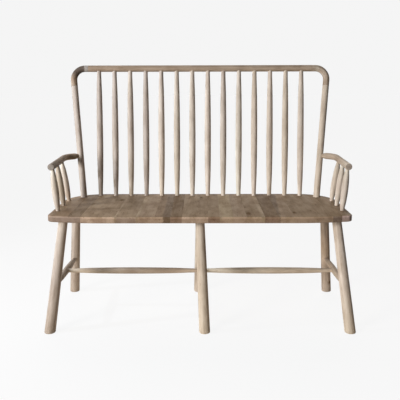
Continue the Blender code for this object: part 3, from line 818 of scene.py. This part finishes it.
def oak(finish):
    """Limed oak, turned, steam-bent or planed, then sanded and oiled matt.

    The eye sees soft blotches and streaks, dark open pores along the grain, pale ray flecks across it,
    and knots that the grain flows round.
    """
    figure = FIGURES[finish]
    material = bpy.data.materials.new(f"limed_oak_{finish}")
    material.use_nodes = True
    tree = material.node_tree
    shader = tree.nodes["Principled BSDF"]
    wood = add_node(tree, "Attribute", {}, "Vector", attribute_name="wood")
    tone = add_node(tree, "Attribute", {}, "Color", attribute_name="tone")
    from_knot = add_node(tree, "Attribute", {}, "Vector", attribute_name="from_knot")
    in_mm = add_node(tree, "VectorMath", {0: wood, "Scale": MM_PER_METRE}, operation="SCALE")

    # Knot: 1 in its core and in its halo, both with a ragged edge
    cells = add_node(tree, "VectorMath", {0: in_mm, 1: RAGGED_MM}, operation="DIVIDE")
    ragged = add_node(tree, "TexNoise", {"Vector": cells, "Scale": 1, "Detail": NOISE_DETAIL})
    knot_distance = add_node(tree, "VectorMath", {0: from_knot}, "Value", operation="LENGTH")
    swing = {0: ragged, 1: KNOT_RAGGED, 2: -KNOT_RAGGED * NOISE_MIDDLE}
    edge = add_node(tree, "Math", swing, operation="MULTIPLY_ADD")
    edge = add_node(tree, "Math", {0: knot_distance, 1: edge}, operation="ADD")
    knot = {}
    for zone, (inner, outer) in {"core": KNOT_CORE, "halo": KNOT_HALO}.items():
        limits = {"Value": edge, "From Min": inner, "From Max": outer, "To Min": 1, "To Max": 0}
        knot[zone] = add_node(tree, "MapRange", limits, interpolation_type="SMOOTHSTEP")

    # Rings round the pith, which wander and bulge past a knot
    cells = add_node(tree, "VectorMath", {0: in_mm, 1: WANDER_MM}, operation="DIVIDE")
    wander = add_node(tree, "TexNoise", {"Vector": cells, "Scale": 1, "Detail": NOISE_DETAIL}, "Color")
    wander = add_node(tree, "VectorMath", {0: wander, 1: (NOISE_MIDDLE,) * 3}, operation="SUBTRACT")
    reach = (WANDER_REACH_MM, WANDER_REACH_MM, 0)
    bent = add_node(tree, "VectorMath", {0: wander, 1: reach, 2: in_mm}, operation="MULTIPLY_ADD")
    flat = add_node(tree, "VectorMath", {0: bent, 1: (1, 1, 0)}, operation="MULTIPLY")
    radius = add_node(tree, "VectorMath", {0: flat}, "Value", operation="LENGTH")
    bulge = {0: knot["halo"], 1: KNOT_BULGE_MM, 2: radius}
    radius = add_node(tree, "Math", bulge, operation="MULTIPLY_ADD")
    season = add_node(tree, "Math", {0: radius, 1: RING_MM}, operation="DIVIDE")
    season = add_node(tree, "Math", {0: season}, operation="FRACT")
    limits = {"Value": season, "From Min": 0, "From Max": SPRING_SHARE, "To Min": 1, "To Max": 0}
    spring = add_node(tree, "MapRange", limits, interpolation_type="SMOOTHSTEP")

    # Marks: rays lie along the radius of the log, and the rest along its length
    place = add_node(tree, "SeparateXYZ", {0: bent}).node.outputs
    angle = add_node(tree, "Math", {0: place["Y"], 1: place["X"]}, operation="ARCTAN2")
    angle_mm = add_node(tree, "Math", {0: angle, 1: RAY_RADIUS_MM}, operation="MULTIPLY")
    round_pith = add_node(tree, "CombineXYZ", {"X": radius, "Y": angle_mm, "Z": place["Z"]})
    marks = {"end_grain": add_node(tree, "Attribute", {}, "Fac", attribute_name="end_grain")}
    for mark, drawn in MARKS.items():
        lies = round_pith if mark == "ray" else in_mm
        cells = add_node(tree, "VectorMath", {0: lies, 1: drawn["size_mm"]}, operation="DIVIDE")
        noise = add_node(tree, "TexNoise", {"Vector": cells, "Scale": 1, "Detail": drawn["detail"]})
        limits = {"Value": noise, "From Min": drawn["from"], "From Max": drawn["to"]}
        marks[mark] = add_node(tree, "MapRange", limits, interpolation_type="SMOOTHSTEP")
    share = {0: spring, 1: PORES_IN_SPRING, 2: 1 - PORES_IN_SPRING}
    crowd = add_node(tree, "Math", share, operation="MULTIPLY_ADD")
    marks["pore"] = add_node(tree, "Math", {0: marks["pore"], 1: crowd}, operation="MULTIPLY")

    # A strip of sapwood or heartwood, with a ragged inner edge
    in_strip = add_node(tree, "Attribute", {}, "Fac", attribute_name="in_strip")
    strip_tone = add_node(tree, "Attribute", {}, "Color", attribute_name="strip_tone")
    edge = add_node(tree, "Math", {0: ragged, 1: STRIP_RAGGED, 2: in_strip}, operation="MULTIPLY_ADD")
    halfway = STRIP_RAGGED * NOISE_MIDDLE
    limits = {"Value": edge, "From Min": halfway - HALF_FADE, "From Max": halfway + HALF_FADE}
    strip = add_node(tree, "MapRange", limits)
    tones = {"Factor": strip, MIX_FROM: tone, MIX_TO: strip_tone}
    tone = add_node(tree, "Mix", tones, MIXED, data_type="RGBA")

    # Shade: all that darkens the wood, weighed and added up. Blotches and streaks swing to both sides of
    # plain wood.
    lightest = PLAIN_SHADE - (figure["blotch"] + figure["streak"]) / 2
    shade = add_node(tree, "Math", {0: spring, 1: SPRING_SHADE, 2: lightest}, operation="MULTIPLY_ADD")
    for mark, weight in figure.items():
        shade = add_node(tree, "Math", {0: marks[mark], 1: weight, 2: shade}, operation="MULTIPLY_ADD")
    for zone, weight in KNOT_SHADES.items():
        shade = add_node(tree, "Math", {0: knot[zone], 1: weight, 2: shade}, operation="MULTIPLY_ADD")
    shades = {"Factor": shade, MIX_FROM: (*PALE_GRAIN, 1), MIX_TO: (*DARK_GRAIN, 1)}
    grain = add_node(tree, "Mix", shades, MIXED, data_type="RGBA", clamp_factor=True)
    colours = {"Factor": 1, MIX_FROM: grain, MIX_TO: tone}
    colour = add_node(tree, "Mix", colours, MIXED, data_type="RGBA", blend_type="MULTIPLY")
    tree.links.new(colour, shader.inputs["Base Color"])

    # Finish: matt oil, and pores that are open to the touch
    limits = {"Value": shade, "To Min": OAK_ROUGHNESS[0], "To Max": OAK_ROUGHNESS[1]}
    tree.links.new(add_node(tree, "MapRange", limits), shader.inputs["Roughness"])
    depth = {0: spring, 1: SPRING_HOLLOW, 2: marks["pore"]}
    hollow = add_node(tree, "Math", depth, operation="MULTIPLY_ADD")
    bump = {"Height": hollow, "Distance": PORE_DEPTH, "Strength": PORE_STRENGTH}
    tree.links.new(add_node(tree, "Bump", bump, invert=True), shader.inputs["Normal"])
    shader.inputs["IOR"].default_value = OAK_IOR
    shader.inputs["Specular IOR Level"].default_value = OAK_SHEEN
    return material


def beech():
    """Plain beech, milled to dowel rod: the eye sees an even, pale tan with fine darker flecks."""
    material = bpy.data.materials.new("beech_dowel_rod")
    material.use_nodes = True
    tree = material.node_tree
    shader = tree.nodes["Principled BSDF"]
    place = add_node(tree, "TexCoord", {}, "Object")
    spacing = MM_PER_METRE / BEECH_FLECK_MM
    flecks = add_node(tree, "TexNoise", {"Vector": place, "Scale": spacing, "Detail": NOISE_DETAIL})
    plain, fleck = BEECH_TONES
    tones = {"Factor": flecks, MIX_FROM: (*linear(plain), 1), MIX_TO: (*linear(fleck), 1)}
    colour = add_node(tree, "Mix", tones, MIXED, data_type="RGBA")
    tree.links.new(colour, shader.inputs["Base Color"])
    shader.inputs["Roughness"].default_value = BEECH_ROUGHNESS
    return material


def dress_dowels():
    """The hidden dowels keep their solids, in beech."""
    material = beech()
    for place in PLACES:
        for joint in ("post", "rail"):
            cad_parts[f"{place}_{joint}_dowel"].data.materials[0] = material


def add_pieces():
    """Every piece of the bench, in its finish."""
    turned = oak("turned")
    bent = oak("steam_bent")
    underside = add_seat(oak("planed"))
    for number in range(SPINDLE_COUNT):
        add_spindle(f"back_spindle_{number + 1:02d}", turned)
    for place in PLACES:
        add_straight(f"{place}_post", turned)
        add_bow_corner(place, bent)
        add_arm(place, turned)
        for number in range(ARM_SPINDLE_COUNT):
            add_spindle(f"{place}_arm_spindle_{number + 1}", turned)
        add_spindle(f"{place}_long_stretcher", turned)
    add_straight("top_rail", bent)
    for place in ("left", "middle", "right"):
        add_spindle(f"{place}_cross_stretcher", turned)
        for row in ("front", "rear"):
            add_leg(f"{row}_{place}_leg", underside, turned)
    dress_dowels()


def seen_directly(tree):
    """1 where a ray comes from the camera or off a polished or clear surface, else 0."""
    path = add_node(tree, "LightPath", {}).node.outputs
    rays = {0: path["Is Camera Ray"], 1: path["Is Glossy Ray"]}
    seen = add_node(tree, "Math", rays, operation="MAXIMUM")
    return add_node(tree, "Math", {0: seen, 1: path["Is Transmission Ray"]}, operation="MAXIMUM")


def light_on_floor():
    """The light that falls on the floor far from the bench, of each colour."""
    light = WORLD_LEVEL * np.array(linear(WORLD_COLOUR))
    for lamp in FAR_LAMPS.values():
        light += lamp["level"] * math.sin(math.radians(lamp["rise"])) * np.array(linear(lamp["colour"]))
    return light


def add_floor():
    """A pale studio floor of matt paper, rolled out flat.

    The eye sees it as bright as the backdrop, but for the bench's soft shadow, and its cream tone warms
    the undersides of the bench.
    """
    shape = bmesh.new()
    bmesh.ops.create_grid(shape, x_segments=1, y_segments=1, size=FLOOR_HALF_SIDE)
    mesh = bpy.data.meshes.new("studio_floor")
    shape.to_mesh(mesh)
    shape.free()
    material = bpy.data.materials.new("studio_floor_paper")
    material.use_nodes = True
    tree = material.node_tree
    tree.nodes.remove(tree.nodes["Principled BSDF"])
    matt = add_node(tree, "BsdfDiffuse", {"Color": (*linear(FLOOR_TONE), 1)})
    rest = BACKDROP_LEVEL - np.array(linear(FLOOR_TONE)) * light_on_floor()
    glow = add_node(tree, "Emission", {"Color": (*rest, 1)})
    seen = add_node(tree, "AddShader", {0: matt, 1: glow})
    place = add_node(tree, "TexCoord", {}, "Object")
    distance = add_node(tree, "VectorMath", {0: place}, "Value", operation="LENGTH")
    limits = {"Value": distance, "From Min": PAPER_END[0], "From Max": PAPER_END[1]}
    past_paper = add_node(tree, "MapRange", limits, interpolation_type="SMOOTHSTEP")
    paper = (*linear(PAPER_TONE), 1)
    past = (*linear(PAST_PAPER_TONE), 1)
    tones = {"Factor": past_paper, MIX_FROM: paper, MIX_TO: past}
    tone = add_node(tree, "Mix", tones, MIXED, data_type="RGBA")
    bounce = add_node(tree, "BsdfDiffuse", {"Color": tone})
    surface = add_node(tree, "MixShader", {0: seen_directly(tree), 1: bounce, 2: seen})
    tree.links.new(surface, tree.nodes["Material Output"].inputs["Surface"])
    mesh.materials.append(material)
    floor = bpy.data.objects.new("studio_floor", mesh)
    bpy.context.scene.collection.objects.link(floor)


def light_world():
    """A dim warm fill from all round, seen directly as a plain pale backdrop."""
    world = bpy.data.worlds.new("studio")
    world.use_nodes = True
    tree = world.node_tree
    fill = add_node(tree, "Background", {"Color": (*linear(WORLD_COLOUR), 1), "Strength": WORLD_LEVEL})
    backdrop = add_node(tree, "Background", {"Color": (1, 1, 1, 1), "Strength": BACKDROP_LEVEL})
    surface = add_node(tree, "MixShader", {0: seen_directly(tree), 1: fill, 2: backdrop})
    tree.links.new(surface, tree.nodes["World Output"].inputs["Surface"])
    bpy.context.scene.world = world


def add_lamp(light, towards, place, colour):
    """Puts a lamp at a place, so that it shines against the direction towards it."""
    light.color = linear(colour)
    lamp = bpy.data.objects.new(light.name, light)
    lamp.location = place
    lamp.rotation_euler = towards.to_track_quat("Z", "Y").to_euler()
    bpy.context.scene.collection.objects.link(lamp)


def light_bench():
    """The lamps. Level 1 is strength pi in a far lamp, and 4 pi squared watts in a hooded one at a metre."""
    for name, lamp in LAMPS.items():
        towards = Vector(lamp["place"]) - Vector(lamp["aim"])
        light = bpy.data.lights.new(name, "SPOT")
        light.shadow_soft_size = lamp["width"] / 2
        light.spot_size = math.radians(lamp["beam"])
        light.spot_blend = BEAM_SOFTNESS
        light.energy = lamp["level"] * 4 * math.pi**2 * towards.length_squared
        add_lamp(light, towards, lamp["place"], lamp["colour"])
    for name, lamp in FAR_LAMPS.items():
        turn = math.radians(lamp["turn"])
        rise = math.radians(lamp["rise"])
        flat = math.cos(rise)
        towards = Vector((math.sin(turn) * flat, -math.cos(turn) * flat, math.sin(rise)))
        light = bpy.data.lights.new(name, "SUN")
        light.energy = lamp["level"] * math.pi
        light.angle = math.radians(lamp["width"])
        add_lamp(light, towards, towards * FAR_LAMP_DISTANCE, lamp["colour"])


def add_camera():
    """The camera, where the photograph was taken from."""
    data = bpy.data.cameras.new("camera")
    data.lens = CAMERA_LENS_MM
    camera = bpy.data.objects.new("camera", data)
    camera.location = CAMERA_PLACE
    turn = Matrix.Rotation(CAMERA_YAW, 3, "Z")
    tilt = Matrix.Rotation(math.pi / 2 - CAMERA_PITCH, 3, "X")
    roll = Matrix.Rotation(CAMERA_ROLL, 3, "Z")
    camera.rotation_euler = (turn @ tilt @ roll).to_euler()
    bpy.context.scene.collection.objects.link(camera)
    bpy.context.scene.camera = camera


add_pieces()
add_floor()
light_world()
light_bench()
add_camera()
bpy.context.scene.view_settings.view_transform = "Standard"
